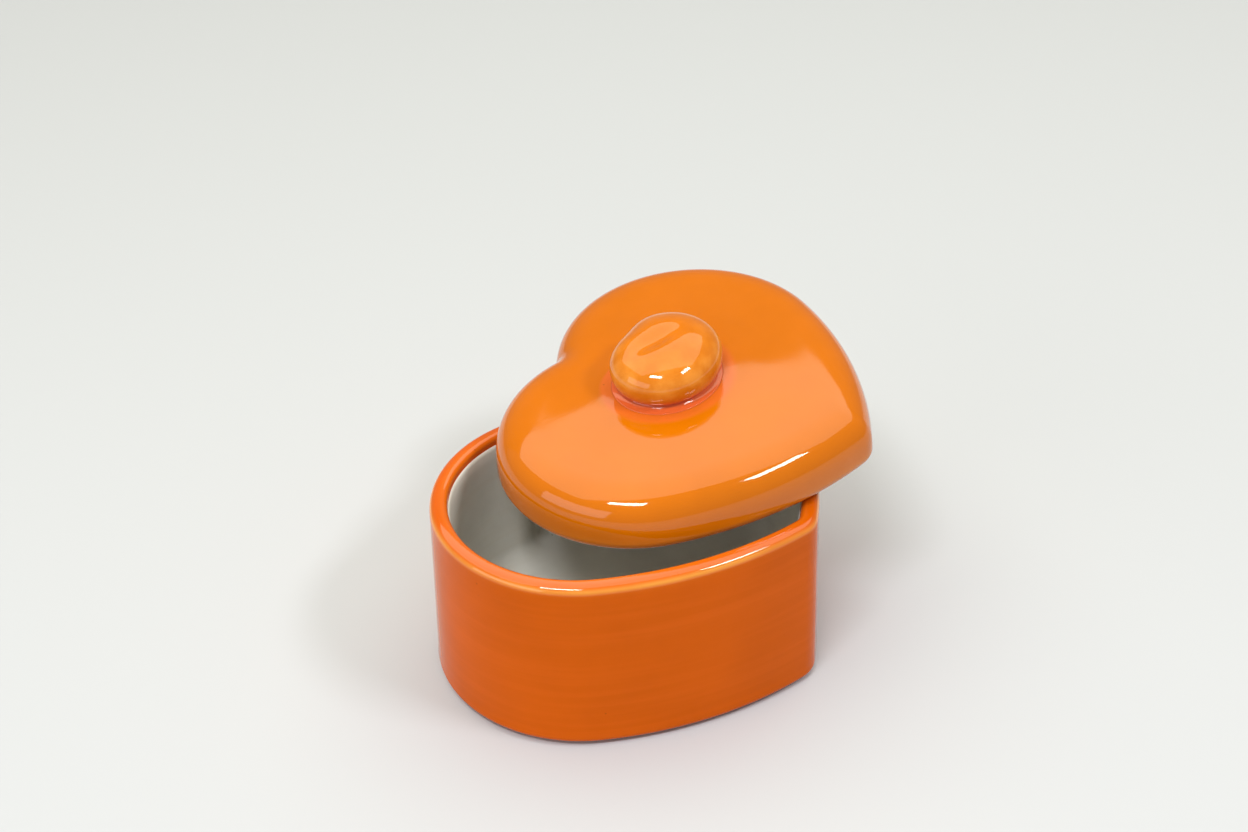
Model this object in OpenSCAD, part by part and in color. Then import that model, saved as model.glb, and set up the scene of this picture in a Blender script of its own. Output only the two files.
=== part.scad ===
// Heart-shaped ceramic trinket box: a deep heart-shaped box and a puffy lid with a pinched knob.
// Millimetres. +Z is up, the heart's tip points along -Y and its lobes along +Y.
// The origin is on the table, under the middle of the box. The lid lies askew across the rim.

/* [Heart outline] */
// Width of the box across both lobes
heart_width = 117.5; // [112:0.5:141]
// Length of the box from tip to lobes
heart_length = 100; // [84:0.5:120]
// Radius of each lobe
lobe_r = 40; // [34:0.5:45]
// Radius of the rounded tip
tip_r = 9; // [7:0.5:12]
// Radius of the gently bowed flank between a lobe and the tip
flank_r = 107; // [95:1:180]
// Radius of the soft fold in the cleft between the lobes
cleft_r = 3; // [2:0.5:6]

/* [Box] */
// Height of the box, from the table to the top of its rim
box_height = 53; // [40:0.5:70]
// Thickness of the box's wall
wall = 5; // [3.5:0.1:7]
// Thickness of the floor above the foot
floor_thickness = 5; // [3:0.1:8]
// Radius of the rim's outer shoulder
rim_outer_r = 2.4; // [1:0.1:2.8]
// Radius of the rim's inner shoulder
rim_inner_r = 1.6; // [0.5:0.1:2]
// Radius of the rounded edge under the wall
base_edge_r = 2; // [1:0.1:4]
// How far the wall leans out at its foot
wall_lean = 0.8; // [0:0.1:1.5]
// Radius of the fillet between the floor and the wall, inside
floor_fillet = 7; // [3:0.5:10]

/* [Foot] */
// Height of the bare clay foot that the box stands on
foot_height = 1; // [0.5:0.1:3]
// Width of the foot, across
foot_width = 5; // [3:0.5:8]
// How far the foot is set in from the flat under the wall
foot_setback = 0.2; // [0.2:0.1:2]

/* [Inside glaze] */
// Thickness of the pale glaze coat inside the box and under the lid
liner_thickness = 0.5; // [0.4:0.1:0.8]
// How far below the rim the coat inside the box starts
liner_drop = 2.3; // [2:0.1:6]

/* [Lid] */
// How far the lid's edge stays inside the outline of the box
lid_inset = 1.1; // [0.5:0.1:2]
// Radius of the roll under the lid's edge
lid_roll_r = 3.6; // [2.5:0.1:4.5]
// Height of the lid's shoulder above its widest line
shoulder_height = 12.4; // [10:0.1:16]
// How far the shoulder leans in
shoulder_inset = 6; // [4:0.1:9]
// Rise of the lid's crown above its shoulder
crown_rise = 0.9; // [0.5:0.1:4]
// Thickness of the lid's crown over its hollow
lid_wall = 5; // [4:0.1:7]

/* [Locating ring under the lid] */
// Depth of the ring below the ledge of the lid
ring_depth = 1.6; // [1:0.1:3]
// Width of the ring, across
ring_width = 3; // [2:0.1:4]
// Play between the ring and the inside of the box
ring_play = 1; // [0.5:0.1:2]

/* [Knob] */
// Width of the knob, along X
knob_width = 34.5; // [26:0.5:40]
// Length of the knob, along Y
knob_length = 30; // [24:0.5:36]
// Height of the knob above the crown
knob_height = 15; // [10:0.5:18]
// Height of the knob's widest line above the crown
knob_waist = 6.5; // [4:0.5:8]
// Depth of the thumb dimple in the knob's top
dimple_depth = 1.7; // [0.5:0.1:3.5]
// Length of the thumb dimple
dimple_length = 14; // [8:0.5:20]
// Width of the thumb dimple
dimple_width = 6.5; // [4:0.5:12]
// Height of the joint bead around the knob's neck
bead_height = 1.6; // [0.8:0.1:2.5]
// Width of the joint bead, outward from the neck
bead_width = 2.6; // [1:0.1:3.5]

/* [How the lid lies] */
// Sideways shift of the lid across the box
lid_shift_x = 22.2; // [21.5:0.1:23]
// Shift of the lid towards the tip
lid_shift_y = -4.5; // [-5:0.1:-4]
// Turn of the lid about the upright axis, in degrees
lid_turn = 6; // [5.5:0.1:6.5]
// Tilt of the lid across the box, in degrees
lid_roll = -3.6; // [-4:0.1:-3.2]
// Tilt of the lid along the box, in degrees
lid_pitch = -1.6; // [-2:0.1:-1.2]
// Gap left under the lid at the place where it comes nearest to the rim
lid_play = 0.11; // [0.1:0.01:0.5]

/* [Hidden] */

GLAZE = [0.82, 0.36, 0.07];
LID_GLAZE = [0.93, 0.47, 0.1];
LINER = [0.72, 0.7, 0.66];
CLAY = [0.86, 0.8, 0.72];
BEAD = [0.85, 0.3, 0.12];

CLEFT_STEPS = 4;
LOBE_STEPS = 18;
FLANK_STEPS = 5;
TIP_STEPS = 5;
KNOB_POINTS = 40;
MIN_TIP_R = 1.5;

// Centres of the arcs that make the outline's right half.
lobe = [heart_width / 2 - lobe_r, heart_length / 2 - lobe_r];
tip = [0, tip_r - heart_length / 2];
cleft = [0, lobe.y + sqrt(pow(lobe_r + cleft_r, 2) - pow(lobe.x, 2))];
lobe_to_tip = norm(tip - lobe);
along = (tip - lobe) / lobe_to_tip;
reach = (pow(flank_r - lobe_r, 2) - pow(flank_r - tip_r, 2) + pow(lobe_to_tip, 2)) / (2 * lobe_to_tip);
aside = sqrt(pow(flank_r - lobe_r, 2) - pow(reach, 2));
flank = lobe + along * reach + [along.y, -along.x] * aside;

// Levels of the box, up from the table.
floor_z = foot_height + floor_thickness;
liner_top = box_height - liner_drop;

// Levels of the lid, up from its ledge.
ROLL_ANGLE = 60;
SHOULDER_ANGLE = 78;
CROWN_POWER = 4;
waist_z = lid_roll_r * sin(ROLL_ANGLE);
shoulder_z = waist_z + shoulder_height * sin(SHOULDER_ANGLE);
seat_z = shoulder_z + crown_rise;
hollow_z = seat_z - lid_wall;
hollow_inset = wall + ring_play + ring_width;
HOLLOW_ROUND = 8;

// Points tried across the flat of the rim and along each of its edges, to find where the lid touches.
RIM_TRIES = 4;
EDGE_TRIES = 8;

KNOB_PLACE = [-2.4, 8.4];
DIMPLE_PLACE = [-2.9, 1.4];
DIMPLE_TURN = -28;
// How squarely the knob's top rounds over, and how small its last ring is.
KNOB_ROUNDING = 0.75;
PEAK_SHARE = 0.06;
FLAT_TURN = 84;
FLAT_SPREAD = 27;
FLAT_DENT = 0.11;
NECK_SCALE = 0.85;
SEAT_SCALE = 1.16;

function direction(v) = atan2(v.y, v.x);

// Points of an arc, without its last one.
function arc(centre, r, from, to, steps) =
    [for (k = [0:steps - 1]) let (t = from + (to - from) * k / steps) centre + r * [cos(t), sin(t)]];

// The right half of the outline, from the cleft to the tip. It is grown outward by grow.
function half_heart(grow) =
    let (
        end_r = max(tip_r + grow, MIN_TIP_R),
        end = [0, flank.y - sqrt(pow(flank_r + grow - end_r, 2) - pow(flank.x, 2))],
        cleft_turn = direction(lobe - cleft),
        lobe_turn = direction(lobe - flank),
        end_turn = direction(end - flank)
    )
    concat(
        arc(cleft, cleft_r - grow, -90, cleft_turn, CLEFT_STEPS),
        arc(lobe, lobe_r + grow, cleft_turn + 180, lobe_turn, LOBE_STEPS),
        arc(flank, flank_r + grow, lobe_turn, end_turn, FLANK_STEPS),
        arc(end, end_r, end_turn, -90, TIP_STEPS),
        [end - [0, end_r]]
    );

function heart(grow) =
    let (half = half_heart(grow))
    concat(half, [for (k = [len(half) - 2:-1:1]) [-half[k].x, half[k].y]]);

function lift(outline, z) = [for (p = outline) [p.x, p.y, z]];
function level(grow, z) = lift(heart(grow), z);
function lean(z) = wall_lean * (1 - z / box_height);

// How far a point lies beyond the outline. It is below zero inside the heart.
function beyond(p) =
    let (q = [abs(p.x), p.y], turn = direction(q - flank))
    q.y > lobe.y && cross(lobe - cleft, q - cleft) < 0 ? cleft_r - norm(q - cleft)
    : turn > direction(lobe - flank) ? norm(q - lobe) - lobe_r
    : turn > direction(tip - flank) ? norm(q - flank) - flank_r
    : norm(q - tip) - tip_r;

// Height of the lid's underside over its ledge, where a point lies out beyond the outline.
function underside(out) =
    out < -hollow_inset ? hollow_z
    : out < -wall - ring_play ? -ring_depth
    : out < -lid_inset - lid_roll_r * (1 - cos(ROLL_ANGLE)) ? 0
    : out < -lid_inset ? waist_z - lid_roll_r * sqrt(1 - pow(1 + (out + lid_inset) / lid_roll_r, 2))
    : hollow_z;

// Height that the ledge's middle needs over the rim, for the lid to clear a point of the rim.
function needed_lift(p) =
    let (
        d = p - [lid_shift_x, lid_shift_y],
        q = [d.x * cos(lid_turn) + d.y * sin(lid_turn), d.y * cos(lid_turn) - d.x * sin(lid_turn)]
    )
    q.x * tan(lid_roll) - q.y * tan(lid_pitch) / cos(lid_roll) - underside(beyond(q));

rim_points = [
    for (k = [0:RIM_TRIES])
        let (share = k / RIM_TRIES, ring = heart(-rim_outer_r * (1 - share) - (wall - rim_inner_r) * share))
        for (i = [0:len(ring) - 1], j = [0:EDGE_TRIES - 1])
            ring[i] + (ring[(i + 1) % len(ring)] - ring[i]) * j / EDGE_TRIES
];
lid_lift = lid_play + max([for (p = rim_points) needed_lift(p)]);

// The knob's outline in the direction t, as a share of its full size: an oval, pressed flat on one side.
function knob_edge(t, share) =
    let (press = 1 - FLAT_DENT * exp(-pow((t - FLAT_TURN) / FLAT_SPREAD, 2)))
    share * press * [knob_width / 2 * cos(t), knob_length / 2 * sin(t)];

// How deep the thumb dimple is at a point of the knob's top.
function dimple(p) =
    let (
        q = p - DIMPLE_PLACE,
        u = q.x * cos(DIMPLE_TURN) + q.y * sin(DIMPLE_TURN),
        v = q.y * cos(DIMPLE_TURN) - q.x * sin(DIMPLE_TURN)
    )
    dimple_depth * exp(-pow(u / (dimple_length / 2), 2) - pow(v / (dimple_width / 2), 2));

function knob_ring(share, z, dip) =
    [for (k = [0:KNOB_POINTS - 1])
        let (t = 180 - 360 * k / KNOB_POINTS, p = knob_edge(t, share))
        [p.x, p.y, z - dip * dimple(p)]];

// The two triangles between corners a and b of one ring and c and d of the next.
function patch(a, b, c, d, crossed) = crossed ? [[a, b, d], [b, c, d]] : [[a, b, c], [a, c, d]];

// A closed solid skinned over rings that run from one flat end to the other. The bands from
// crossed[0] up to crossed[1] are split along their other diagonal, to match a skin they lie on.
module skin(rings, crossed = [0, 0]) {
    n = len(rings[0]);
    last = len(rings) - 1;
    sides = [for (k = [0:last - 1], i = [0:n - 1]) let (j = (i + 1) % n, here = k * n, next = here + n)
        each patch(here + i, here + j, next + j, next + i, k >= crossed[0] && k < crossed[1])];
    start = [for (i = [n - 1:-1:0]) i];
    end = [for (i = [0:n - 1]) last * n + i];
    polyhedron([for (r = rings) each r], concat([start], sides, [end]), convexity = 6);
}

// A closed hoop skinned over rings that come back to the first one.
module hoop(rings) {
    n = len(rings[0]);
    m = len(rings);
    sides = [for (k = [0:m - 1], i = [0:n - 1]) let (j = (i + 1) % n, here = k * n, next = (k + 1) % m * n)
        each patch(here + i, here + j, next + j, next + i, false)];
    polyhedron([for (r = rings) each r], sides, convexity = 6);
}

// The inside of the box, from the top edge down to the floor, with extra taken off it all over.
function inside_of_box(top, extra) =
    concat(
        [level(-wall - extra, top)],
        [for (q = [0:15:90]) level(-wall - extra - (floor_fillet - extra) * (1 - cos(q)),
                                   floor_z + extra + (floor_fillet - extra) * (1 - sin(q)))]
    );

function reversed(rings) = [for (k = [len(rings) - 1:-1:0]) rings[k]];

module box_body() {
    bottom_edge = [for (q = [0:18:90]) let (z = foot_height + base_edge_r * (1 - cos(q)))
        level(lean(z) - base_edge_r * (1 - sin(q)), z)];
    outer_rim = [for (q = [0:15:90])
        level(-rim_outer_r * (1 - cos(q)), box_height - rim_outer_r * (1 - sin(q)))];
    inner_rim = [for (q = [90:-18:18])
        level(-wall + rim_inner_r * (1 - cos(q)), box_height - rim_inner_r * (1 - sin(q)))];
    color(GLAZE) skin(concat(bottom_edge, outer_rim, inner_rim, inside_of_box(box_height - rim_inner_r, 0)));
}

module box_liner() {
    back = inside_of_box(liner_top, 0);
    face = inside_of_box(liner_top, liner_thickness);
    color(LINER) skin(concat(reversed(back), face), [0, len(back) - 1]);
}

module foot_ring() {
    outer = -base_edge_r + lean(foot_height) - foot_setback;
    color(CLAY) linear_extrude(foot_height) difference() {
        polygon(heart(outer));
        polygon(heart(outer - foot_width));
    }
}

// Puts a piece of the lid, drawn flat with its ledge at z = 0, where the lid lies.
module on_box() {
    translate([lid_shift_x, lid_shift_y, box_height + lid_lift])
        rotate([lid_pitch, lid_roll, lid_turn])
            children();
}

function lid_hollow(extra) =
    let (inset = -hollow_inset - extra, rise = hollow_z - extra - waist_z)
    concat(
        [level(inset, 0)],
        [for (q = [0:18:90]) level(inset - HOLLOW_ROUND * (1 - cos(q)), waist_z + rise * sin(q))]
    );

// The crown's outline blends from the heart at the shoulder to the knob's seat.
function crown_ring(t) =
    let (
        shoulder = heart(-lid_inset - shoulder_inset * (1 - cos(SHOULDER_ANGLE))),
        z = shoulder_z + crown_rise * (1 - pow(1 - t, CROWN_POWER))
    )
    [for (p = shoulder)
        let (seat = KNOB_PLACE + knob_edge(direction(p - KNOB_PLACE), SEAT_SCALE), q = p + (seat - p) * t)
        [q.x, q.y, z]];

module lid_shell() {
    roll = [for (q = [-ROLL_ANGLE:15:-15])
        level(-lid_inset - lid_roll_r * (1 - cos(q)), waist_z + lid_roll_r * sin(q))];
    shoulder = [for (q = [0:13:SHOULDER_ANGLE - 1])
        level(-lid_inset - shoulder_inset * (1 - cos(q)), waist_z + shoulder_height * sin(q))];
    crown = [for (t = [0, 0.08, 0.2, 0.4, 0.7, 1]) crown_ring(t)];
    color(LID_GLAZE) on_box() skin(concat(reversed(lid_hollow(0)), roll, shoulder, crown));
}

module lid_liner() {
    face = lid_hollow(liner_thickness);
    back = lid_hollow(0);
    color(LINER) on_box() skin(concat(reversed(face), back), [len(face), len(face) + len(back)]);
}

module locating_ring() {
    color(LID_GLAZE) on_box() translate([0, 0, -ring_depth]) linear_extrude(ring_depth) difference() {
        polygon(heart(-wall - ring_play));
        polygon(heart(-hollow_inset));
    }
}

module on_crown() {
    on_box() translate([KNOB_PLACE.x, KNOB_PLACE.y, seat_z]) children();
}

module knob() {
    neck = [knob_ring(NECK_SCALE, 0, 0), knob_ring(NECK_SCALE, bead_height, 0)];
    rise = knob_waist - bead_height;
    under = [for (q = [60:-20:20])
        knob_ring(NECK_SCALE + (1 - NECK_SCALE) * cos(q), knob_waist - rise * sin(q), 0)];
    top = [for (q = [0:10:80])
        knob_ring(pow(cos(q), KNOB_ROUNDING), knob_waist + (knob_height - knob_waist) * sin(q), sin(q))];
    peak = knob_height - dimple([0, 0]);
    color(LID_GLAZE) on_crown() skin(concat(neck, under, top, [knob_ring(PEAK_SHARE, peak, 0)]));
}

module knob_bead() {
    spread = 1 + 2 * bead_width / (knob_width * NECK_SCALE);
    foot = [knob_ring(NECK_SCALE, 0, 0), knob_ring(NECK_SCALE * spread, 0, 0)];
    cove = [for (q = [30:30:60])
        knob_ring(NECK_SCALE * (1 + (spread - 1) * (1 - sin(q))), bead_height * (1 - cos(q)), 0)];
    color(BEAD) on_crown() hoop(concat(foot, cove, [knob_ring(NECK_SCALE, bead_height, 0)]));
}

box_body();
box_liner();
foot_ring();
lid_shell();
lid_liner();
locating_ring();
knob();
knob_bead();
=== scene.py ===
"""A heart-shaped ceramic trinket box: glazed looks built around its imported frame."""

import math

import bpy
from bpy.props import FloatProperty, FloatVectorProperty, IntProperty, PointerProperty
from mathutils import Euler, Matrix, Vector, noise


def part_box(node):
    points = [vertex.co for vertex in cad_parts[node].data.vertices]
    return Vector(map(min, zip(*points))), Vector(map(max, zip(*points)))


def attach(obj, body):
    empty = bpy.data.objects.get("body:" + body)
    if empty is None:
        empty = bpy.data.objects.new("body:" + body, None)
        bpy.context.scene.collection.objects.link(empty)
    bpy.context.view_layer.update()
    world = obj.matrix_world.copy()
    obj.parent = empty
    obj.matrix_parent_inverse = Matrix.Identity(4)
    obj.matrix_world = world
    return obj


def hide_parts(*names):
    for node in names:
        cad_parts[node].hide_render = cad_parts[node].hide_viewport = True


bl_info = {
    "name": "Heart-shaped trinket box",
    "version": (1, 0, 0),
    "blender": (4, 5, 0),
    "location": "View3D > Sidebar > Trinket box",
    "description": "Builds a glazed heart-shaped box with a loose lid around its frame",
    "category": "Add Mesh",
}

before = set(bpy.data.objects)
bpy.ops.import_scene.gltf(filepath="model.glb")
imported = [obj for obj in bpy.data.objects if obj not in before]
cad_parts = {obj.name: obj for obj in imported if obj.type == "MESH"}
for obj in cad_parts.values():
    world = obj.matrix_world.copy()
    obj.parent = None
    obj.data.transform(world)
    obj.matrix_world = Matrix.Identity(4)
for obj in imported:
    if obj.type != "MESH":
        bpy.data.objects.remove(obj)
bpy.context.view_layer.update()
box_low, box_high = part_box("box_body")

MM = 0.001
CHECK_SLACK = 0.6 * MM


# ---------------------------------------------------------------- settings


def length(name, about, millimetres):
    """A length that the user may change, given here in millimetres."""
    return FloatProperty(name=name, description=about, default=millimetres * MM, unit="LENGTH", precision=5)


def angle(name, about, degrees):
    """An angle that the user may change, given here in degrees."""
    return FloatProperty(name=name, description=about, default=math.radians(degrees), unit="ROTATION")


def tint(name, about, colour):
    """A linear colour that the user may change."""
    return FloatVectorProperty(
        name=name, description=about, default=colour, subtype="COLOR", size=3, min=0.0, max=1.0
    )


class HeartOutline(bpy.types.PropertyGroup):
    """The arcs that make the heart's outline."""

    width: length("Width", "Across both lobes, at the rim", 117.5)
    length: length("Length", "From the tip to the lobes", 100.0)
    lobe: length("Lobe radius", "Radius of each lobe", 40.0)
    tip: length("Tip radius", "Radius of the rounded tip", 9.0)
    flank: length("Flank radius", "Radius of the bowed flanks", 107.0)
    cleft: length("Cleft radius", "Radius of the fold between the lobes", 3.0)
    steps: IntProperty(name="Steps", description="Points along each lobe", default=64, min=8)


class BoxSizes(bpy.types.PropertyGroup):
    """Sizes of the box below its rim."""

    height: length("Height", "From the table to the rim", 1000.0 * box_high.z)
    wall: length("Wall", "Thickness of the wall", 5.0)
    floor: length("Floor", "Thickness of the floor above the foot", 5.0)
    outer_shoulder: length("Outer shoulder", "Radius of the rim's outer shoulder", 2.4)
    inner_shoulder: length("Inner shoulder", "Radius of the rim's inner shoulder", 1.6)
    bottom_edge: length("Bottom edge", "Radius of the edge under the wall", 2.0)
    lean: length("Lean", "How far the wall leans out at its foot", 0.8)
    fillet: length("Floor fillet", "Radius between the floor and the wall", 7.0)
    foot_height: length("Foot height", "Height of the bare clay foot", 1000.0 * box_low.z)
    foot_width: length("Foot width", "Width of the foot", 5.0)
    foot_setback: length("Foot setback", "How far the foot is set in", 0.2)
    coat: length("Coat", "Thickness of the pale glaze inside", 0.5)
    coat_drop: length("Coat drop", "How far below the rim the pale glaze starts", 2.3)
    coat_wave: length("Coat wave", "How far the pale glaze's edge wanders", 0.35)


class LidSizes(bpy.types.PropertyGroup):
    """Sizes of the lid, and how it lies on the box."""

    inset: length("Inset", "How far the lid's edge stays inside the box's outline", 1.1)
    roll: length("Roll", "Radius of the roll under the edge", 3.6)
    shoulder_height: length("Shoulder height", "Height of the shoulder over the widest line", 12.6)
    shoulder_inset: length("Shoulder inset", "How far the shoulder leans in", 13.0)
    seat: length("Seat height", "Height of the knob's seat over the ledge", 16.15)
    hollow: length("Hollow", "Depth of the hollow under the lid", 11.15)
    ring_depth: length("Ring depth", "Depth of the locating ring", 1.6)
    ring_width: length("Ring width", "Width of the locating ring", 3.0)
    ring_play: length("Ring play", "Play between the ring and the box", 1.0)
    shift_x: length("Shift across", "How far the lid is pushed sideways", 22.2)
    shift_y: length("Shift along", "How far the lid is pushed towards the lobes", -4.5)
    lift: length("Lift", "Height of the ledge's middle over the rim", 1.65)
    turn: angle("Turn", "Turn of the lid on the box", 6.0)
    tilt_x: angle("Tilt along", "Tilt about the X axis", -1.6)
    tilt_y: angle("Tilt across", "Tilt about the Y axis", -3.6)


class KnobSizes(bpy.types.PropertyGroup):
    """Sizes of the pinched knob."""

    width: length("Width", "Size along X", 34.5)
    length: length("Length", "Size along Y", 30.0)
    height: length("Height", "Height over its seat", 14.95)
    waist: length("Waist", "Height of its widest line", 6.5)
    dimple: length("Dimple", "Depth of the thumb dimple", 1.7)
    dimple_length: length("Dimple length", "Length of the thumb dimple", 14.0)
    dimple_width: length("Dimple width", "Width of the thumb dimple", 6.5)
    dimple_x: length("Dimple across", "Where the dimple is from the knob's middle, across", -2.9)
    dimple_y: length("Dimple along", "Where the dimple is from the knob's middle, along", 1.4)
    dimple_turn: angle("Dimple turn", "Direction of the dimple", -28.0)
    bead_height: length("Bead height", "Height of the joint bead", 1.6)
    bead_width: length("Bead width", "Width of the joint bead", 2.6)
    place_x: length("Place across", "Where the knob stands, across", -2.4)
    place_y: length("Place along", "Where the knob stands, along", 8.4)


class Glazes(bpy.types.PropertyGroup):
    """Colours of the glazes and the clay."""

    box: tint("Box glaze", "Orange glaze on the box", (0.64, 0.105, 0.0))
    lid: tint("Lid glaze", "Orange glaze on the lid", (0.6, 0.146, 0.0))
    broken: tint("Thin glaze", "Amber where the glaze runs thin over an edge", (0.8, 0.33, 0.05))
    amber: tint("Amber glaze", "Thinner glaze all over the knob", (0.64, 0.162, 0.0))
    pooled: tint("Pooled glaze", "Red where the glaze pools", (0.74, 0.13, 0.03))
    inside: tint("Inside glaze", "Pale grey glaze inside", (0.72, 0.71, 0.655))
    clay: tint("Clay", "Bare clay of the foot", (0.78, 0.7, 0.58))


class BoxSettings(bpy.types.PropertyGroup):
    """Everything that the trinket box is built from."""

    heart: PointerProperty(type=HeartOutline)
    box: PointerProperty(type=BoxSizes)
    lid: PointerProperty(type=LidSizes)
    knob: PointerProperty(type=KnobSizes)
    glazes: PointerProperty(type=Glazes)


# ---------------------------------------------------------------- outlines


# The least radius of the heart's tip: where a ring is drawn far in, and on the lid's soft shoulder.
MIN_TIP = 1.5 * MM
SOFT_TIP = 5 * MM
# Taken off all round, so that the fine mesh stays inside the solid that it stands for.
TRIM = 0.09 * MM


def turn_of(v):
    """The direction of a plane vector, in radians."""
    return math.atan2(v.y, v.x)


def arc(centre, radius, start, stop, steps):
    """Points of an arc, without its last one."""
    for k in range(steps):
        t = start + (stop - start) * k / steps
        yield centre + radius * Vector((math.cos(t), math.sin(t)))


def heart(sizes, grow, least_tip=MIN_TIP):
    """The heart's outline, grown outward by grow, clockwise from the cleft."""
    grow -= TRIM
    lobe = Vector((sizes.width / 2 - sizes.lobe, sizes.length / 2 - sizes.lobe))
    tip = Vector((0.0, sizes.tip - sizes.length / 2))
    cleft = Vector((0.0, lobe.y + math.sqrt((sizes.lobe + sizes.cleft) ** 2 - lobe.x**2)))
    gap = (tip - lobe).length
    along = (tip - lobe) / gap
    near, far = sizes.flank - sizes.lobe, sizes.flank - sizes.tip
    reach = (near**2 - far**2 + gap**2) / (2 * gap)
    flank = lobe + along * reach + Vector((along.y, -along.x)) * math.sqrt(near**2 - reach**2)
    end_radius = max(sizes.tip + grow, least_tip)
    drop = math.sqrt((sizes.flank + grow - end_radius) ** 2 - flank.x**2)
    end = Vector((0.0, flank.y - drop))
    cleft_turn, lobe_turn, end_turn = turn_of(lobe - cleft), turn_of(lobe - flank), turn_of(end - flank)
    fine = sizes.steps
    half = [
        *arc(cleft, sizes.cleft - grow, -math.pi / 2, cleft_turn, fine // 5),
        *arc(lobe, sizes.lobe + grow, cleft_turn + math.pi, lobe_turn, fine),
        *arc(flank, sizes.flank + grow, lobe_turn, end_turn, fine // 2),
        *arc(end, end_radius, end_turn, -math.pi / 2, fine // 4),
        end - Vector((0.0, end_radius)),
    ]
    return half + [Vector((-p.x, p.y)) for p in half[-2:0:-1]]


def heart_ring(s, grow, z, least_tip=MIN_TIP):
    """The heart's outline at height z, grown outward by grow."""
    return [Vector((p.x, p.y, z)) for p in heart(s.heart, grow, least_tip)]


def ramp(start, stop, steps):
    """Evenly spaced values from start to stop, both kept."""
    return [start + (stop - start) * k / steps for k in range(steps + 1)]


def quarter(steps, start=0.0, stop=90.0):
    """Angles in radians between two given in degrees."""
    return [math.radians(a) for a in ramp(start, stop, steps)]


# ---------------------------------------------------------------- meshes


# What is painted on a mesh, from 0 to 1: thin glaze, pooled glaze, hand-made waver and a shiny coat.
PAINTED = ("thin", "pooled", "loose", "shine")
# How deep the waver of a hand-made wall goes, and how long its waves are.
WAVER_DEPTH = 0.25 * MM
WAVER_SIZE = 30 * MM


class Skin:
    """Rings of points, each with its painted values."""

    def __init__(self):
        self.rings = []
        self.paint = []

    def add(self, ring, thin=0.0, pooled=0.0, loose=0.0, shine=0.0):
        """Adds a ring and what is painted on it."""
        self.rings.append(ring)
        self.paint.append((thin, pooled, loose, shine))

    def mesh(self, name, hoop=False):
        """A new object skinned over the rings, closed by flat ends or back onto the first ring."""
        count = len(self.rings[0])
        total = len(self.rings)
        bands = total if hoop else total - 1
        faces = []
        for k in range(bands):
            here, after = k * count, (k + 1) % total * count
            for i in range(count):
                j = (i + 1) % count
                faces.append((after + i, after + j, here + j, here + i))
        if not hoop:
            faces.append(tuple(range(count)))
            faces.append(tuple((total - 1) * count + i for i in reversed(range(count))))
        mesh = bpy.data.meshes.new(name)
        mesh.from_pydata([p for ring in self.rings for p in ring], [], faces)
        for label, values in zip(PAINTED, zip(*self.paint)):
            layer = mesh.attributes.new(label, "FLOAT", "POINT")
            layer.data.foreach_set("value", [v for v in values for _ in range(count)])
        mesh.update()
        mesh.polygons.foreach_set("use_smooth", [True] * len(mesh.polygons))
        piece = bpy.data.objects.new(name, mesh)
        bpy.context.scene.collection.objects.link(piece)
        return piece


def waver(piece):
    """Presses the mesh inward by a slow wander, as far as its loose value allows."""
    mesh = piece.data
    loose = [0.0] * len(mesh.vertices)
    mesh.attributes["loose"].data.foreach_get("value", loose)
    normals = [v.normal.copy() for v in mesh.vertices]
    for vertex, share, normal in zip(mesh.vertices, loose, normals):
        if share > 0.0:
            wander = 0.5 + 0.5 * noise.noise(vertex.co / WAVER_SIZE)
            vertex.co -= normal * WAVER_DEPTH * share * wander
    mesh.update()


def finish_piece(piece, body, node, material):
    """Hands a piece to its body and node, with its material."""
    piece.data.materials.append(material)
    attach(piece, body)
    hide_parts(node)


def require_match(piece, node):
    """Stops the script if a rebuilt piece's box strays from the box of the solid that it stands for."""
    low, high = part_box(node)
    corners = [Vector(c) for c in piece.bound_box]
    for axis in range(3):
        least, most = min(c[axis] for c in corners), max(c[axis] for c in corners)
        if abs(least - low[axis]) > CHECK_SLACK or abs(most - high[axis]) > CHECK_SLACK:
            raise RuntimeError(f"{piece.name} strays from {node} along axis {axis}")


# ---------------------------------------------------------------- materials


def node_group(name, inputs, outputs):
    """An empty shader group with named sockets, given as (name, socket type, default)."""
    group = bpy.data.node_groups.new(name, "ShaderNodeTree")
    for label, kind, default in inputs:
        socket = group.interface.new_socket(label, in_out="INPUT", socket_type=kind)
        socket.default_value = default
    for label, kind in outputs:
        group.interface.new_socket(label, in_out="OUTPUT", socket_type=kind)
    return group, group.nodes.new("NodeGroupInput"), group.nodes.new("NodeGroupOutput")


def add(tree, kind, links=(), **values):
    """A node with its settings, sockets and links: a socket takes a number, a colour or a socket."""
    node = tree.nodes.new(kind)
    for key, value in values.items():
        setattr(node, key, value)
    for label, value in links:
        socket = node.inputs[label]
        if isinstance(value, bpy.types.NodeSocket):
            tree.links.new(value, socket)
        elif socket.type == "RGBA":
            socket.default_value = (*value, 1.0)
        else:
            socket.default_value = value
    return node


def math_node(tree, operation, first, second):
    """The result of an arithmetic node."""
    return add(tree, "ShaderNodeMath", [(0, first), (1, second)], operation=operation).outputs[0]


def times(tree, first, second):
    """The product of two values."""
    return math_node(tree, "MULTIPLY", first, second)


# Where a mix node keeps its share and its colours.
MIX_SHARE, MIX_FIRST, MIX_SECOND, MIX_RESULT = 0, 6, 7, 2


def blend_colours(tree, share, first, second):
    """The result of mixing two colours by share."""
    links = [(MIX_SHARE, share), (MIX_FIRST, first), (MIX_SECOND, second)]
    return add(tree, "ShaderNodeMix", links, data_type="RGBA").outputs[MIX_RESULT]


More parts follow.
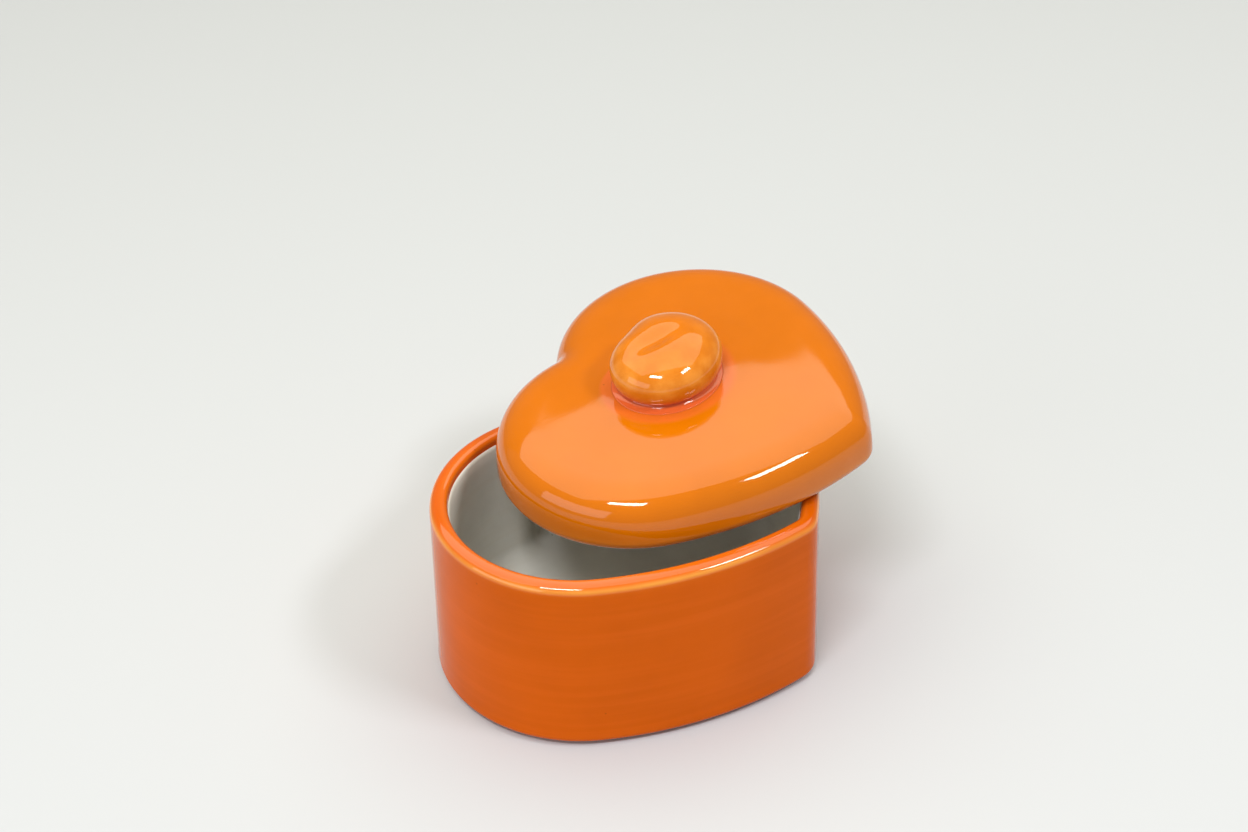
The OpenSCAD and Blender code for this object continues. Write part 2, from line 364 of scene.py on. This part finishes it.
def spread(tree, value, low, high, to_low=0.0, to_high=1.0):
    """A value mapped from one range to another, and held inside it."""
    links = [("Value", value), ("From Min", low), ("From Max", high), ("To Min", to_low), ("To Max", to_high)]
    return add(tree, "ShaderNodeMapRange", links).outputs["Result"]


def noise_at(tree, place, scale, detail):
    """Soft noise at a place of the surface."""
    links = [("Vector", place), ("Scale", scale), ("Detail", detail)]
    return add(tree, "ShaderNodeTexNoise", links).outputs[0]


def scattered_dots(tree, place, scale, core, rim, channel, rarity):
    """A mask of small dots: one in the middle of the few cells whose random value passes rarity."""
    cells = add(tree, "ShaderNodeTexVoronoi", [("Vector", place), ("Scale", scale)])
    near = spread(tree, cells.outputs["Distance"], core, rim, 1.0, 0.0)
    split = add(tree, "ShaderNodeSeparateColor", [("Color", cells.outputs["Color"])])
    return times(tree, near, math_node(tree, "GREATER_THAN", split.outputs[channel], rarity))


# How fast the level streaks change across the wall and up it.
STREAK_RATES = (14.0, 14.0, 420.0)


def build_mottle():
    """Group: soft clouds, thin level streaks and fine specks in a glaze."""
    group, given, out = node_group(
        "Glaze mottle",
        [("Cloud size", "NodeSocketFloat", 0.02), ("Streaks", "NodeSocketFloat", 0.4)],
        [("Clouds", "NodeSocketFloat"), ("Streaks", "NodeSocketFloat"), ("Specks", "NodeSocketFloat")],
    )
    place = add(group, "ShaderNodeTexCoord").outputs["Object"]
    rate = math_node(group, "DIVIDE", 1.0, given.outputs["Cloud size"])
    clouds = noise_at(group, place, rate, 4.0)
    flat = add(group, "ShaderNodeMapping", [("Vector", place), ("Scale", STREAK_RATES)])
    lines = noise_at(group, flat.outputs[0], 1.0, 3.0)
    streak = times(group, spread(group, lines, 0.45, 0.7), given.outputs["Streaks"])
    group.links.new(spread(group, clouds, 0.3, 0.7), out.inputs["Clouds"])
    group.links.new(streak, out.inputs["Streaks"])
    group.links.new(scattered_dots(group, place, 260.0, 0.04, 0.1, 0, 0.93), out.inputs["Specks"])


def build_relief():
    """Group: the faint orange peel of a glaze, its slow ripple and a few pinholes, as a height."""
    group, given, out = node_group(
        "Glaze relief",
        [
            ("Peel", "NodeSocketFloat", 0.2),
            ("Ripple", "NodeSocketFloat", 1.0),
            ("Pits", "NodeSocketFloat", 0.5),
        ],
        [("Height", "NodeSocketFloat"), ("Pits", "NodeSocketFloat")],
    )
    place = add(group, "ShaderNodeTexCoord").outputs["Object"]
    peel = times(group, noise_at(group, place, 900.0, 2.0), given.outputs["Peel"])
    ripple = times(group, noise_at(group, place, 55.0, 1.0), given.outputs["Ripple"])
    pits = scattered_dots(group, place, 190.0, 0.02, 0.07, 1, 0.955)
    height = math_node(group, "ADD", peel, ripple)
    sunk = math_node(group, "SUBTRACT", height, times(group, pits, given.outputs["Pits"]))
    group.links.new(sunk, out.inputs["Height"])
    group.links.new(pits, out.inputs["Pits"])


def group_node(tree, name, links=()):
    """One of the shared groups, placed in a material."""
    node = tree.nodes.new("ShaderNodeGroup")
    node.node_tree = bpy.data.node_groups[name]
    for label, value in links:
        node.inputs[label].default_value = value
    return node


def painted(tree, name):
    """The value painted on the mesh under a name."""
    return add(tree, "ShaderNodeAttribute", attribute_name=name).outputs["Fac"]


def new_material(name):
    """A material with its tree and its Principled shader."""
    material = bpy.data.materials.new(name)
    material.use_nodes = True
    tree = material.node_tree
    return material, tree, tree.nodes["Principled BSDF"]


def shaded(colour, factor):
    """A colour made darker or lighter."""
    return tuple(min(1.0, c * factor) for c in colour)


def dress(tree, shader, colour, clouds, roughness, height, strength, depth):
    """Gives the shader its colour, a roughness that follows the clouds, and a relief."""
    tree.links.new(colour, shader.inputs["Base Color"])
    tree.links.new(spread(tree, clouds, 0.0, 1.0, *roughness), shader.inputs["Roughness"])
    bump = add(tree, "ShaderNodeBump", [("Strength", strength), ("Distance", depth), ("Height", height)])
    tree.links.new(bump.outputs["Normal"], shader.inputs["Normal"])


def gloss_glaze(name, main, thin, pooled, streaks, depth, gloss, cloud=22 * MM, patchy=0.6):
    """Shiny orange glaze: clouded, amber where it is thin, red where it pools.

    Depth is how dark the clouds go, and patchy is how much of the thin and pooled colour they leave.
    """
    material, tree, shader = new_material(name)
    mottle = group_node(tree, "Glaze mottle", [("Cloud size", cloud), ("Streaks", streaks)])
    relief = group_node(tree, "Glaze relief", [("Peel", 0.1), ("Ripple", 1.0), ("Pits", 0.5)])
    clouds = mottle.outputs["Clouds"]
    colour = blend_colours(tree, clouds, shaded(main, depth), main)
    light = tuple(min(1.0, c * 1.18 + 0.01) for c in main)
    colour = blend_colours(tree, times(tree, mottle.outputs["Streaks"], 0.5), colour, light)
    uneven = spread(tree, clouds, 0.25, 0.8, patchy, 1.0)
    colour = blend_colours(tree, times(tree, painted(tree, "thin"), uneven), colour, thin)
    colour = blend_colours(tree, times(tree, painted(tree, "pooled"), uneven), colour, pooled)
    speck = times(tree, mottle.outputs["Specks"], 0.5)
    colour = blend_colours(tree, speck, colour, shaded(main, 0.45))
    dress(tree, shader, colour, clouds, (0.03, 0.065), relief.outputs["Height"], 0.25, 0.12 * MM)
    shader.inputs["IOR"].default_value = 1.5
    shader.inputs["Specular IOR Level"].default_value = gloss
    shader.inputs["Coat Roughness"].default_value = 0.04
    tree.links.new(painted(tree, "shine"), shader.inputs["Coat Weight"])
    return material


def satin_glaze(name, main):
    """The pale glaze inside: satin, clouded, with a few dark specks."""
    material, tree, shader = new_material(name)
    mottle = group_node(tree, "Glaze mottle", [("Cloud size", 12 * MM), ("Streaks", 0.3)])
    relief = group_node(tree, "Glaze relief", [("Peel", 0.5), ("Ripple", 0.6), ("Pits", 0.8)])
    clouds = mottle.outputs["Clouds"]
    colour = blend_colours(tree, clouds, shaded(main, 0.9), main)
    warm = (main[0] * 0.85, main[1] * 0.78, main[2] * 0.68)
    colour = blend_colours(tree, times(tree, mottle.outputs["Streaks"], 0.5), colour, warm)
    colour = blend_colours(tree, painted(tree, "thin"), colour, shaded(main, 1.08))
    speck = times(tree, mottle.outputs["Specks"], 0.6)
    colour = blend_colours(tree, speck, colour, (0.09, 0.07, 0.05))
    dress(tree, shader, colour, clouds, (0.34, 0.46), relief.outputs["Height"], 0.35, 0.15 * MM)
    shader.inputs["Specular IOR Level"].default_value = 0.25
    return material


def bare_clay(name, main):
    """Fired clay with no glaze: matt, sandy and a little stained, with painted shade in its pinholes."""
    material, tree, shader = new_material(name)
    mottle = group_node(tree, "Glaze mottle", [("Cloud size", 4 * MM), ("Streaks", 0.0)])
    relief = group_node(tree, "Glaze relief", [("Peel", 1.0), ("Ripple", 0.4), ("Pits", 1.0)])
    clouds = mottle.outputs["Clouds"]
    colour = blend_colours(tree, clouds, shaded(main, 0.8), main)
    # Painted shade: the pinholes are darkened in colour as well as sunk in the relief.
    colour = blend_colours(tree, relief.outputs["Pits"], colour, shaded(main, 0.4))
    dress(tree, shader, colour, clouds, (0.75, 0.9), relief.outputs["Height"], 0.8, 0.2 * MM)
    return material


def material_for(context, name):
    """The named material, made when it is first asked for."""
    if name in bpy.data.materials:
        return bpy.data.materials[name]
    if "Glaze mottle" not in bpy.data.node_groups:
        build_mottle()
        build_relief()
    g = context.scene.trinket_box.glazes
    box, lid, amber = tuple(g.box), tuple(g.lid), tuple(g.amber)
    thin, pooled = tuple(g.broken), tuple(g.pooled)
    makers = {
        "Box glaze": lambda: gloss_glaze(name, box, thin, pooled, 0.45, 0.9, 0.08),
        "Lid glaze": lambda: gloss_glaze(name, lid, thin, pooled, 0.0, 0.9, 0.5),
        "Knob glaze": lambda: gloss_glaze(name, amber, thin, pooled, 0.0, 0.9, 0.5, 5 * MM, 0.3),
        "Pooled glaze": lambda: gloss_glaze(name, pooled, thin, pooled, 0.0, 0.9, 0.5),
        "Inside glaze": lambda: satin_glaze(name, tuple(g.inside)),
        "Bare clay": lambda: bare_clay(name, tuple(g.clay)),
    }
    return makers[name]()


# ---------------------------------------------------------------- the box


# Rows up the wall, the rows under the rim where glaze pools inside, and how far the rings that close the
# box's underside and its floor lie in from the curve before them.
WALL_ROWS = 36
POOLED_ROWS = 3
UNDERSIDE_LIP = 1.5 * MM
FLOOR_LIP = 0.8 * MM
# Where round the rim's outer shoulder the glaze runs thin, and over how much of it, in degrees.
THIN_AT = 30
THIN_SPREAD = 17
# Where the shine of the rim is at its full, in degrees round the shoulder.
SHINE_FULL = 20
# Over what height the pale glaze comes to its thickness, and how fast its edge wanders.
COAT_TAPER = 1.5 * MM
COAT_WANDER = 90.0
# Soft edges of the foot.
FOOT_EDGE = 0.25 * MM


def lean(box, z):
    """How far the wall leans out at height z."""
    return box.lean * (1 - z / box.height)


def inner_profile(box, top, extra):
    """(grow, height) down the inside of the box to its floor, less extra all over."""
    radius = box.fillet - extra
    floor = box.foot_height + box.floor + extra
    face = -box.wall - extra
    profile = [(face, z) for z in ramp(top, floor + radius, 12)[:-1]]
    for q in quarter(12):
        profile.append((face - radius * (1 - math.cos(q)), floor + radius * (1 - math.sin(q))))
    return profile + [(face - radius - FLOOR_LIP, floor)]


def build_box_shell(context):
    """The orange shell of the box: underside, wall, rim and the inside under the pale glaze."""
    s = context.scene.trinket_box
    box = s.box
    skin = Skin()
    edge, low = box.bottom_edge, box.foot_height
    skin.add(heart_ring(s, lean(box, low) - edge - UNDERSIDE_LIP, low))
    for q in quarter(10):
        z = low + edge * (1 - math.cos(q))
        skin.add(heart_ring(s, lean(box, z) - edge * (1 - math.sin(q)), z), pooled=0.25 * math.cos(q))
    for z in ramp(low + edge, box.height - box.outer_shoulder, WALL_ROWS)[1:-1]:
        skin.add(heart_ring(s, lean(box, z), z), loose=1.0)
    shoulder = box.outer_shoulder
    for q in quarter(12):
        ring = heart_ring(s, -shoulder * (1 - math.cos(q)), box.height - shoulder * (1 - math.sin(q)))
        thin = 0.85 * math.exp(-(((math.degrees(q) - THIN_AT) / THIN_SPREAD) ** 2))
        skin.add(ring, thin=thin, loose=0.5, shine=min(1.0, math.degrees(q) / SHINE_FULL))
    shoulder = box.inner_shoulder
    for q in reversed(quarter(9)[1:]):
        grow = -box.wall + shoulder * (1 - math.cos(q))
        skin.add(heart_ring(s, grow, box.height - shoulder * (1 - math.sin(q))), thin=0.1, shine=1.0)
    for k, (grow, z) in enumerate(inner_profile(box, box.height - shoulder, 0.0)):
        skin.add(heart_ring(s, grow, z), pooled=0.55 if k < POOLED_ROWS else 0.2)
    piece = skin.mesh("box_shell")
    waver(piece)
    require_match(piece, "box_body")
    finish_piece(piece, "base", "box_body", material_for(context, "Box glaze"))


def build_box_coat(context):
    """The pale glaze inside the box, feathered out along a wandering edge."""
    s = context.scene.trinket_box
    box = s.box
    top = box.height - box.coat_drop

    def edge(extra):
        ring = heart_ring(s, -box.wall - extra, top)
        for p in ring:
            p.z -= box.coat_wave * (1 + noise.noise(Vector((p.x, p.y, 0)) * COAT_WANDER))
        return ring

    skin = Skin()
    for grow, z in reversed(inner_profile(box, top - COAT_TAPER, 0.0)):
        skin.add(heart_ring(s, grow, z))
    skin.add(edge(-0.02 * MM), thin=0.6)
    skin.add(edge(0.12 * MM), thin=0.6)
    skin.add(heart_ring(s, -box.wall - 0.7 * box.coat, top - 1.1 * MM), thin=0.5)
    for grow, z in inner_profile(box, top - COAT_TAPER, box.coat):
        skin.add(heart_ring(s, grow, z))
    piece = skin.mesh("box_inside_coat")
    finish_piece(piece, "base", "box_liner", material_for(context, "Inside glaze"))


def build_foot(context):
    """The bare clay foot, ground flat, with soft edges."""
    s = context.scene.trinket_box
    box = s.box
    outer = lean(box, box.foot_height) - box.bottom_edge - box.foot_setback
    inner = outer - box.foot_width
    skin = Skin()
    skin.add(heart_ring(s, inner, box.foot_height))
    skin.add(heart_ring(s, inner, FOOT_EDGE))
    skin.add(heart_ring(s, inner + FOOT_EDGE, 0.0))
    skin.add(heart_ring(s, outer - FOOT_EDGE, 0.0))
    skin.add(heart_ring(s, outer, FOOT_EDGE))
    skin.add(heart_ring(s, outer, box.foot_height))
    piece = skin.mesh("bare_foot", hoop=True)
    require_match(piece, "foot_ring")
    finish_piece(piece, "base", "foot_ring", material_for(context, "Bare clay"))


# ---------------------------------------------------------------- the lid


# The knob's flat side: its direction and spread in degrees, and how far it is pressed in.
FLAT_TURN = 84.0
FLAT_SPREAD = 27.0
FLAT_DENT = 0.11
# How full the lid's shoulder is, and how far the roll goes under its edge, in degrees.
ROUNDNESS = 0.76
UNDERCUT = 60.0
# How far the hollow's roof rounds over, and the soft edges of the locating ring.
HOLLOW_ROUND = 8 * MM
RING_EDGE = 0.6 * MM
# The crown ends a little outside the knob, and the glaze pools over the last part of it.
SEAT_SHARE = 1.16
POOL_START = 0.93


def lid_matrix(s):
    """Takes points of the lid, drawn flat with its ledge at z = 0, to where the lid lies."""
    lid = s.lid
    turned = Euler((lid.tilt_x, lid.tilt_y, lid.turn), "XYZ").to_matrix().to_4x4()
    return Matrix.Translation((lid.shift_x, lid.shift_y, s.box.height + lid.lift)) @ turned


def knob_edge(knob, turn, share):
    """The knob's outline in one direction: an oval, pressed flat on one side."""
    press = 1 - FLAT_DENT * math.exp(-(((math.degrees(turn) - FLAT_TURN) / FLAT_SPREAD) ** 2))
    return share * press * Vector((knob.width / 2 * math.cos(turn), knob.length / 2 * math.sin(turn)))


def waist_height(lid):
    """Height of the lid's widest line over its ledge."""
    return lid.roll * math.sin(math.radians(UNDERCUT))


def hollow_profile(s, extra):
    """(grow, height) up the inside of the lid from its ledge to the roof, less extra all over."""
    lid = s.lid
    inset = -s.box.wall - lid.ring_play - lid.ring_width - extra
    start = waist_height(lid)
    rise = lid.hollow - extra - start
    profile = [(inset, z) for z in ramp(0.0, start, 4)[:-1]]
    for q in quarter(12):
        profile.append((inset - HOLLOW_ROUND * (1 - math.cos(q)), start + rise * math.sin(q)))
    return profile


def build_lid_shell(context):
    """The puffy lid: roof of the hollow, ledge, rolled edge, shoulder and crown."""
    s = context.scene.trinket_box
    lid, knob = s.lid, s.knob
    skin = Skin()
    for grow, z in reversed(hollow_profile(s, 0.0)):
        skin.add(heart_ring(s, grow, z))
    waist = waist_height(lid)
    for q in quarter(10, -UNDERCUT, 0.0):
        grow = -lid.inset - lid.roll * (1 - math.cos(q))
        skin.add(heart_ring(s, grow, waist + lid.roll * math.sin(q)), thin=0.12)
    for q in quarter(26)[1:]:
        grow = -lid.inset - lid.shoulder_inset * (1 - math.cos(q) ** ROUNDNESS)
        z = waist + lid.shoulder_height * math.sin(q) ** ROUNDNESS
        skin.add(heart_ring(s, grow, z, SOFT_TIP), loose=0.6)
    shoulder = heart(s.heart, -lid.inset - lid.shoulder_inset, SOFT_TIP)
    place = Vector((knob.place_x, knob.place_y))
    low = waist + lid.shoulder_height
    for t in ramp(0.0, 1.0, 26)[1:]:
        ring = []
        for p in shoulder:
            flat = p.lerp(place + knob_edge(knob, turn_of(p - place), SEAT_SHARE), t)
            rise = math.sin(math.pi / 2 * t) ** 2
            ring.append(Vector((flat.x, flat.y, low + (lid.seat - low) * rise)))
        close = max(0.0, (t - POOL_START) / (1 - POOL_START))
        skin.add(ring, pooled=0.6 * close, loose=0.6 * (1 - close))
    piece = skin.mesh("lid_dome")
    waver(piece)
    piece.data.transform(lid_matrix(s))
    require_match(piece, "lid_shell")
    finish_piece(piece, "lid", "lid_shell", material_for(context, "Lid glaze"))


def build_lid_coat(context):
    """The pale glaze under the lid."""
    s = context.scene.trinket_box
    skin = Skin()
    for grow, z in reversed(hollow_profile(s, s.box.coat)):
        skin.add(heart_ring(s, grow, z))
    for grow, z in hollow_profile(s, 0.0):
        skin.add(heart_ring(s, grow, z))
    piece = skin.mesh("lid_inside_coat")
    piece.data.transform(lid_matrix(s))
    finish_piece(piece, "lid", "lid_liner", material_for(context, "Inside glaze"))


def build_locating_ring(context):
    """The ring under the lid that drops inside the rim."""
    s = context.scene.trinket_box
    lid = s.lid
    outer = -s.box.wall - lid.ring_play
    inner = outer - lid.ring_width
    skin = Skin()
    skin.add(heart_ring(s, inner, 0.0))
    skin.add(heart_ring(s, inner, RING_EDGE - lid.ring_depth))
    for q in quarter(5):
        z = RING_EDGE * (1 - math.sin(q)) - lid.ring_depth
        skin.add(heart_ring(s, inner + RING_EDGE * (1 - math.cos(q)), z), thin=0.3)
    for q in reversed(quarter(5)):
        z = RING_EDGE * (1 - math.sin(q)) - lid.ring_depth
        skin.add(heart_ring(s, outer - RING_EDGE * (1 - math.cos(q)), z), thin=0.3)
    skin.add(heart_ring(s, outer, 0.0))
    piece = skin.mesh("lid_ring", hoop=True)
    piece.data.transform(lid_matrix(s))
    finish_piece(piece, "lid", "locating_ring", material_for(context, "Lid glaze"))


# ---------------------------------------------------------------- the knob


KNOB_POINTS = 128
# The neck's share of the knob's size, and how squarely the knob's top rounds over.
NECK = 0.85
KNOB_ROUNDING = 0.95


def knob_ring(s, share, z, dip=0.0):
    """One ring of the knob, with the thumb dimple pressed into it."""
    knob, lid = s.knob, s.lid
    ring = []
    for k in range(KNOB_POINTS):
        p = knob_edge(knob, math.pi - 2 * math.pi * k / KNOB_POINTS, share)
        sunk = lid.seat + z - dip * dimple(knob, p)
        ring.append(Vector((p.x + knob.place_x, p.y + knob.place_y, sunk)))
    return ring


def dimple(knob, p):
    """How deep the thumb dimple is at a point of the knob's top."""
    q = Matrix.Rotation(-knob.dimple_turn, 2) @ (p - Vector((knob.dimple_x, knob.dimple_y)))
    along, across = q.x / (knob.dimple_length / 2), q.y / (knob.dimple_width / 2)
    return knob.dimple * math.exp(-(along**2) - across**2)


def build_knob(context):
    """The pinched knob on its short neck."""
    s = context.scene.trinket_box
    knob = s.knob
    skin = Skin()
    skin.add(knob_ring(s, NECK, 0.0), pooled=1.0)
    skin.add(knob_ring(s, NECK, knob.bead_height), pooled=1.0)
    rise = knob.waist - knob.bead_height
    for q in quarter(12, 80.0, 0.0):
        ring = knob_ring(s, NECK + (1 - NECK) * math.cos(q), knob.waist - rise * math.sin(q))
        skin.add(ring, pooled=max(0.0, 1 - 2.2 * (1 - math.sin(q))), thin=0.5 * math.cos(q))
    for q in quarter(36, 0.0, 88.0)[1:]:
        height = knob.waist + (knob.height - knob.waist) * math.sin(q)
        ring = knob_ring(s, math.cos(q) ** KNOB_ROUNDING, height, math.sin(q))
        skin.add(ring, thin=0.6 * math.cos(q) ** 3)
    piece = skin.mesh("knob_lump")
    piece.data.transform(lid_matrix(s))
    finish_piece(piece, "lid", "knob", material_for(context, "Knob glaze"))


def build_knob_pool(context):
    """The glaze pooled round the knob's neck."""
    s = context.scene.trinket_box
    knob = s.knob
    wide = 1 + 2 * knob.bead_width / (knob.width * NECK)
    skin = Skin()
    skin.add(knob_ring(s, NECK, 0.0), pooled=1.0)
    for q in quarter(10):
        share = NECK * (1 + (wide - 1) * (1 - math.sin(q)))
        skin.add(knob_ring(s, share, knob.bead_height * (1 - math.cos(q))), pooled=math.sin(q))
    piece = skin.mesh("knob_pool", hoop=True)
    piece.data.transform(lid_matrix(s))
    finish_piece(piece, "lid", "knob_bead", material_for(context, "Pooled glaze"))


# ---------------------------------------------------------------- stage


# Where the camera stands, in degrees and metres, and its lens in millimetres.
CAMERA_AZIMUTH = -59.18
CAMERA_ELEVATION = 35.26
CAMERA_ROLL = -1.24
CAMERA_DISTANCE = 0.5942
CAMERA_LENS = 61.24
CAMERA_AIM = Vector((0.0210, 0.0195, 0.0500))
# The pale sheet, in metres: how far it lies forward and back, its bend, its top and half its width.
SHEET_FRONT, SHEET_BACK, SHEET_BEND, SHEET_TOP, SHEET_HALF = 2.4, 1.5, 0.9, 2.4, 3.2
# The even light of the room.
ROOM_COLOUR = (0.72, 0.74, 0.78)
ROOM_STRENGTH = 0.36


def sky_direction(azimuth, elevation):
    """A unit vector towards an azimuth and elevation in degrees; azimuth 0 is -Y."""
    a, e = math.radians(azimuth), math.radians(elevation)
    return Vector((math.sin(a) * math.cos(e), -math.cos(a) * math.cos(e), math.sin(e)))


def build_floor():
    """A pale sheet that lies flat and sweeps up behind."""
    away = -sky_direction(CAMERA_AZIMUTH, 0.0)
    side = Vector((-away.y, away.x, 0.0))
    profile = [(-SHEET_FRONT, 0.0), (0.0, 0.0), (SHEET_BACK, 0.0)]
    for q in quarter(24)[1:]:
        profile.append((SHEET_BACK + SHEET_BEND * math.sin(q), SHEET_BEND * (1 - math.cos(q))))
    profile.append((SHEET_BACK + SHEET_BEND, SHEET_TOP))
    verts = []
    for d, z in profile:
        for w in (-SHEET_HALF, SHEET_HALF):
            verts.append(away * d + side * w + Vector((0, 0, z)))
    faces = [(2 * k, 2 * k + 2, 2 * k + 3, 2 * k + 1) for k in range(len(profile) - 1)]
    mesh = bpy.data.meshes.new("pale_sheet")
    mesh.from_pydata(verts, [], faces)
    mesh.update()
    mesh.polygons.foreach_set("use_smooth", [True] * len(mesh.polygons))
    floor = bpy.data.objects.new("pale_sheet", mesh)
    bpy.context.scene.collection.objects.link(floor)
    material, tree, shader = new_material("Pale paper")
    grain = add(tree, "ShaderNodeTexNoise", [("Scale", 4.0), ("Detail", 3.0)])
    share = spread(tree, grain.outputs[0], 0.3, 0.7)
    colour = blend_colours(tree, share, (0.52, 0.53, 0.56), (0.55, 0.56, 0.59))
    tree.links.new(colour, shader.inputs["Base Color"])
    shader.inputs["Roughness"].default_value = 0.75
    floor.data.materials.append(material)


def add_light(name, azimuth, elevation, distance, size, power, colour=(1.0, 1.0, 1.0)):
    """A soft rectangular light that faces the object, with its size in metres and its power in watts."""
    data = bpy.data.lights.new(name, "AREA")
    data.shape = "RECTANGLE"
    data.size, data.size_y = size
    data.energy = power
    data.color = colour
    light = bpy.data.objects.new(name, data)
    light.location = CAMERA_AIM + sky_direction(azimuth, elevation) * distance
    light.rotation_euler = (CAMERA_AIM - light.location).to_track_quat("-Z", "Y").to_euler()
    bpy.context.scene.collection.objects.link(light)


def build_lights():
    """A big soft box over the back, two slim lamps at the front, a low fill and a dim room."""
    behind = CAMERA_AZIMUTH + 180.0
    add_light("overhead_soft_box", behind + 12.0, 73.4, 1.1, (2.1, 1.4), 15.5, (1.0, 0.98, 0.76))
    add_light("lamp_left", CAMERA_AZIMUTH - 20.0, 57.0, 1.3, (0.46, 0.17), 8.2)
    add_light("lamp_right", CAMERA_AZIMUTH + 62.0, 50.0, 1.3, (0.34, 0.17), 5.8)
    add_light("side_fill", CAMERA_AZIMUTH - 52.0, 18.0, 1.4, (1.3, 0.6), 4.5)
    world = bpy.data.worlds.new("dim_room")
    world.use_nodes = True
    background = world.node_tree.nodes["Background"]
    background.inputs["Color"].default_value = (*ROOM_COLOUR, 1.0)
    background.inputs["Strength"].default_value = ROOM_STRENGTH
    bpy.context.scene.world = world


def build_camera():
    """The camera, and a display transform that keeps the glaze's strong colour."""
    data = bpy.data.cameras.new("camera")
    data.lens = CAMERA_LENS
    data.sensor_width = 36.0
    data.clip_start = 0.01
    camera = bpy.data.objects.new("camera", data)
    back = sky_direction(CAMERA_AZIMUTH, CAMERA_ELEVATION)
    right = Vector((0, 0, 1)).cross(back).normalized()
    up = back.cross(right)
    roll = math.radians(CAMERA_ROLL)
    rolled_right = right * math.cos(roll) + up * math.sin(roll)
    rolled_up = up * math.cos(roll) - right * math.sin(roll)
    turned = Matrix((rolled_right, rolled_up, back)).transposed().to_4x4()
    camera.matrix_world = Matrix.Translation(CAMERA_AIM + back * CAMERA_DISTANCE) @ turned
    bpy.context.scene.collection.objects.link(camera)
    bpy.context.scene.camera = camera
    bpy.context.scene.view_settings.view_transform = "Standard"


# ---------------------------------------------------------------- operators and panel


class TRINKET_OT_box(bpy.types.Operator):
    """Build the box: its orange shell, the pale glaze inside and the bare foot"""

    bl_idname = "trinket.box"
    bl_label = "Box"

    def execute(self, context):
        build_box_shell(context)
        build_box_coat(context)
        build_foot(context)
        return {"FINISHED"}


class TRINKET_OT_lid(bpy.types.Operator):
    """Build the lid: its puffy shell, the pale glaze under it and the locating ring"""

    bl_idname = "trinket.lid"
    bl_label = "Lid"

    def execute(self, context):
        build_lid_shell(context)
        build_lid_coat(context)
        build_locating_ring(context)
        return {"FINISHED"}


class TRINKET_OT_knob(bpy.types.Operator):
    """Build the pinched knob and the glaze pooled round its neck"""

    bl_idname = "trinket.knob"
    bl_label = "Knob"

    def execute(self, context):
        build_knob(context)
        build_knob_pool(context)
        return {"FINISHED"}


class TRINKET_OT_stage(bpy.types.Operator):
    """Set up the pale floor, the soft light and the camera"""

    bl_idname = "trinket.stage"
    bl_label = "Stage"

    def execute(self, context):
        build_floor()
        build_lights()
        build_camera()
        return {"FINISHED"}


class TRINKET_PT_panel(bpy.types.Panel):
    """Lists the steps that build the trinket box"""

    bl_label = "Trinket box"
    bl_idname = "TRINKET_PT_panel"
    bl_space_type = "VIEW_3D"
    bl_region_type = "UI"
    bl_category = "Trinket box"

    def draw(self, context):
        for operator in OPERATORS:
            self.layout.operator(operator.bl_idname)


OPERATORS = (TRINKET_OT_box, TRINKET_OT_lid, TRINKET_OT_knob, TRINKET_OT_stage)
GROUPS = (HeartOutline, BoxSizes, LidSizes, KnobSizes, Glazes, BoxSettings)
CLASSES = (*GROUPS, *OPERATORS, TRINKET_PT_panel)


def register():
    """Adds the classes and the settings."""
    for item in CLASSES:
        bpy.utils.register_class(item)
    bpy.types.Scene.trinket_box = PointerProperty(type=BoxSettings)


def unregister():
    """Takes the settings and the classes away again."""
    del bpy.types.Scene.trinket_box
    for item in reversed(CLASSES):
        bpy.utils.unregister_class(item)


def main():
    """Builds everything."""
    register()
    bpy.ops.trinket.box()
    bpy.ops.trinket.lid()
    bpy.ops.trinket.knob()
    bpy.ops.trinket.stage()
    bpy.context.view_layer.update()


if __name__ == "__main__":
    main()
